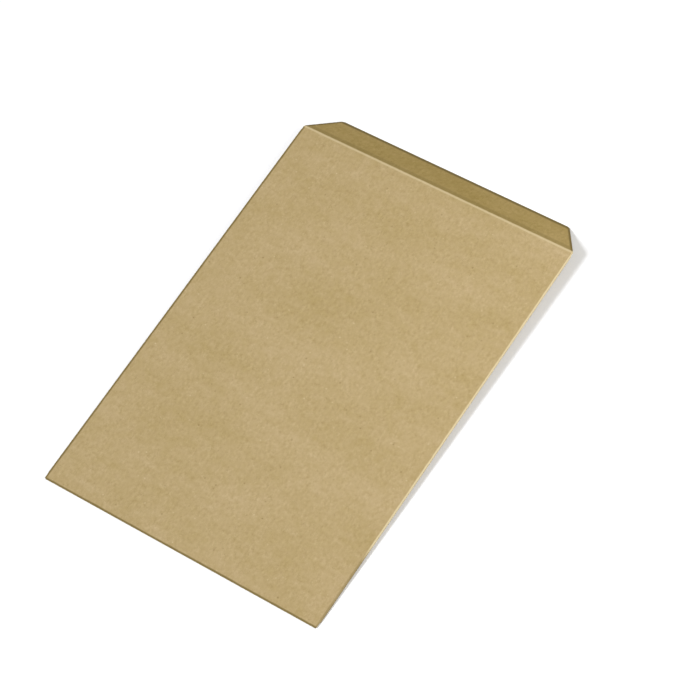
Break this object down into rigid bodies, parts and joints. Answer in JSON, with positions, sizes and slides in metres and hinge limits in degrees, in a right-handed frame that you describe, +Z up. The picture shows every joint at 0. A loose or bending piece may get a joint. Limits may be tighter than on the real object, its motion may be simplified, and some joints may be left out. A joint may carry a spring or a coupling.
{
  "type": "pocket envelope",
  "caption": "Flat pocket envelope of brown kraft paper, folded and glued from one sheet, with a short tapered flap bent down behind it and two strips of dry gum.",
  "frame": {"origin": "on the table, under the middle of the envelope as it rests with its flap bent down", "axes": "+Y along the envelope's height, from the bottom fold to the flap; +X to the right as the front is read; +Z up, away from the table"},
  "size_m": [0.229, 0.3452, 0.0111],
  "materials": {
    "kraft_paper": "matt",
    "dry_gum": "dull sheen"
  },
  "bodies": {
    "root": {"folded_sheet": "kraft_paper", "flap_gum_strip": "dry_gum", "back_gum_strip": "dry_gum"}
  },
  "joints": []
}
